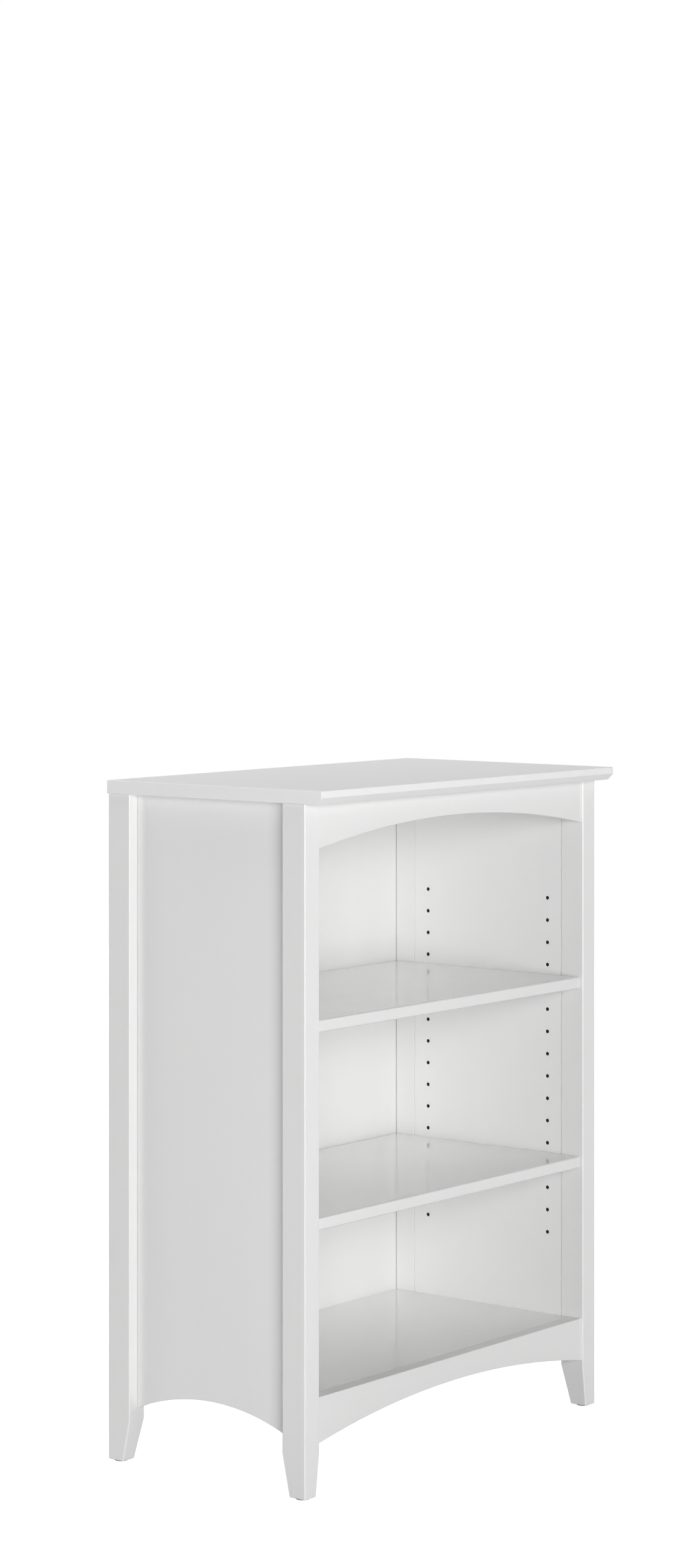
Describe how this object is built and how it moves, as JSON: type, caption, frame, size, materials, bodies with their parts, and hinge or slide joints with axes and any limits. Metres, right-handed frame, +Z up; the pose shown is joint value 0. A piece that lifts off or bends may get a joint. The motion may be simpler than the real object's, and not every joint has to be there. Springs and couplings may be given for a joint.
{
  "type": "bookcase",
  "caption": "Free-standing painted wooden bookcase with tapered posts, arched rails, a fixed bottom shelf and adjustable shelves resting on metal pins.",
  "frame": {"origin": "on the floor under the middle of the top panel, the bottom centre of the bounding box", "axes": "+X to the right seen from the open front, +Y towards the back, +Z up"},
  "size_m": [0.666, 0.37, 0.914],
  "materials": {
    "top_paint": "white satin lacquer",
    "frame_paint": "white satin lacquer",
    "shelf_paint": "white semi-gloss lacquer",
    "back_paint": "white satin lacquer on thin board",
    "beech": "bare beech",
    "nickel": "nickel-plated steel",
    "zinc": "zinc-plated steel",
    "nylon": "grey nylon"
  },
  "bodies": {
    "case": {"back_panel": "back_paint", "back_screw_left_high": "zinc", "back_screw_left_low": "zinc", "back_screw_left_middle": "zinc", "back_screw_right_high": "zinc", "back_screw_right_low": "zinc", "back_screw_right_middle": "zinc", "bottom_shelf": "shelf_paint", "glide_back_left": "nylon", "glide_back_right": "nylon", "glide_front_left": "nylon", "glide_front_right": "nylon", "panel_tenon_left_back_high": "beech", "panel_tenon_left_back_low": "beech", "panel_tenon_left_front_high": "beech", "panel_tenon_left_front_low": "beech", "panel_tenon_right_back_high": "beech", "panel_tenon_right_back_low": "beech", "panel_tenon_right_front_high": "beech", "panel_tenon_right_front_low": "beech", "post_back_left": "frame_paint", "post_back_right": "frame_paint", "post_front_left": "frame_paint", "post_front_right": "frame_paint", "rail_lower_back": "frame_paint", "rail_lower_front": "frame_paint", "rail_tenon_lower_back_left": "beech", "rail_tenon_lower_back_right": "beech", "rail_tenon_lower_front_left": "beech", "rail_tenon_lower_front_right": "beech", "rail_tenon_upper_back_left": "beech", "rail_tenon_upper_back_right": "beech", "rail_tenon_upper_front_left": "beech", "rail_tenon_upper_front_right": "beech", "rail_upper_back": "frame_paint", "rail_upper_front": "frame_paint", "shelf_dowel_left_back": "beech", "shelf_dowel_left_front": "beech", "shelf_dowel_right_back": "beech", "shelf_dowel_right_front": "beech", "side_panel_left": "frame_paint", "side_panel_right": "frame_paint", "top_cleat_left": "frame_paint", "top_cleat_right": "frame_paint", "top_panel": "top_paint", "top_screw_left_back": "zinc", "top_screw_left_front": "zinc", "top_screw_right_back": "zinc", "top_screw_right_front": "zinc"},
    "shelf_upper": {"shelf_upper": "shelf_paint"},
    "shelf_lower": {"shelf_lower": "shelf_paint"},
    "pin_lower_left_back": {"pin_lower_left_back": "nickel"},
    "pin_lower_left_front": {"pin_lower_left_front": "nickel"},
    "pin_lower_right_back": {"pin_lower_right_back": "nickel"},
    "pin_lower_right_front": {"pin_lower_right_front": "nickel"},
    "pin_upper_left_back": {"pin_upper_left_back": "nickel"},
    "pin_upper_left_front": {"pin_upper_left_front": "nickel"},
    "pin_upper_right_back": {"pin_upper_right_back": "nickel"},
    "pin_upper_right_front": {"pin_upper_right_front": "nickel"}
  },
  "joints": [
    {"name": "shelf_upper_slide", "type": "slide", "parent": "case", "child": "shelf_upper", "axis": [0, -1, 0], "range_m": [0, 0.36]},
    {"name": "shelf_lower_slide", "type": "slide", "parent": "case", "child": "shelf_lower", "axis": [0, -1, 0], "range_m": [0, 0.36]},
    {"name": "pin_lower_left_back_pull", "type": "slide", "parent": "case", "child": "pin_lower_left_back", "axis": [1, 0, 0], "range_m": [0, 0.012]},
    {"name": "pin_lower_left_front_pull", "type": "slide", "parent": "case", "child": "pin_lower_left_front", "axis": [1, 0, 0], "range_m": [0, 0.012]},
    {"name": "pin_lower_right_back_pull", "type": "slide", "parent": "case", "child": "pin_lower_right_back", "axis": [-1, 0, 0], "range_m": [0, 0.012]},
    {"name": "pin_lower_right_front_pull", "type": "slide", "parent": "case", "child": "pin_lower_right_front", "axis": [-1, 0, 0], "range_m": [0, 0.012]},
    {"name": "pin_upper_left_back_pull", "type": "slide", "parent": "case", "child": "pin_upper_left_back", "axis": [1, 0, 0], "range_m": [0, 0.012]},
    {"name": "pin_upper_left_front_pull", "type": "slide", "parent": "case", "child": "pin_upper_left_front", "axis": [1, 0, 0], "range_m": [0, 0.012]},
    {"name": "pin_upper_right_back_pull", "type": "slide", "parent": "case", "child": "pin_upper_right_back", "axis": [-1, 0, 0], "range_m": [0, 0.012]},
    {"name": "pin_upper_right_front_pull", "type": "slide", "parent": "case", "child": "pin_upper_right_front", "axis": [-1, 0, 0], "range_m": [0, 0.012]}
  ]
}
